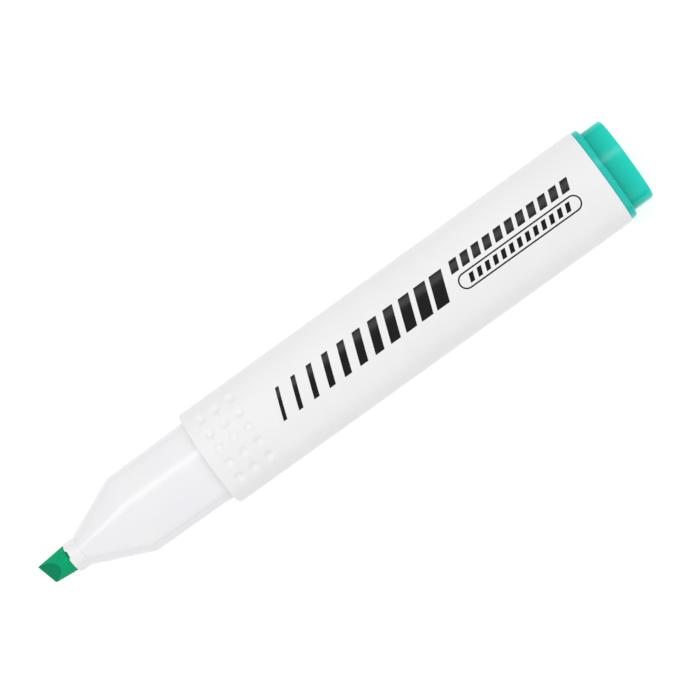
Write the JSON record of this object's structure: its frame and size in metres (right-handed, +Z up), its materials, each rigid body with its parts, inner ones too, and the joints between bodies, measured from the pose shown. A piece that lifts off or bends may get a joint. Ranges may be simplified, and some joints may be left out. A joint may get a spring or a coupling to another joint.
{
  "type": "highlighter pen",
  "caption": "Flat oval highlighter, uncapped, with a chisel nib, a tapered front section, grip dimples and a stepped end plug.",
  "frame": {"origin": "middle of the pen's length and width, on the surface it lies on", "axes": "+X along the pen towards the nib, +Y across the pen's width, +Z up through its thickness, out of the printed face"},
  "size_m": [0.121, 0.018, 0.0124],
  "materials": {
    "barrel_plastic": "satin moulded polypropylene, white",
    "front_plastic": "glossy moulded polypropylene, white",
    "nib_felt": "bonded fibre felt soaked in green ink",
    "reservoir_fibre": "fibre wadding soaked in green ink",
    "reservoir_film": "thin clear film wrap",
    "plug_plastic": "glossy moulded polypropylene, teal",
    "print_ink": "thin black pad print on the barrel's face"
  },
  "bodies": {
    "barrel": {"barrel": "barrel_plastic", "front_section": "front_plastic", "reservoir_core": "reservoir_fibre", "reservoir_wrap": "reservoir_film"},
    "nib": {"nib": "nib_felt"},
    "end_plug": {"end_plug": "plug_plastic"}
  },
  "joints": [
    {"name": "nib_pull", "type": "slide", "parent": "barrel", "child": "nib", "axis": [1, 0, 0], "range_m": [0, 0.022]},
    {"name": "plug_pull", "type": "slide", "parent": "barrel", "child": "end_plug", "axis": [-1, 0, 0], "range_m": [0, 0.008]}
  ]
}
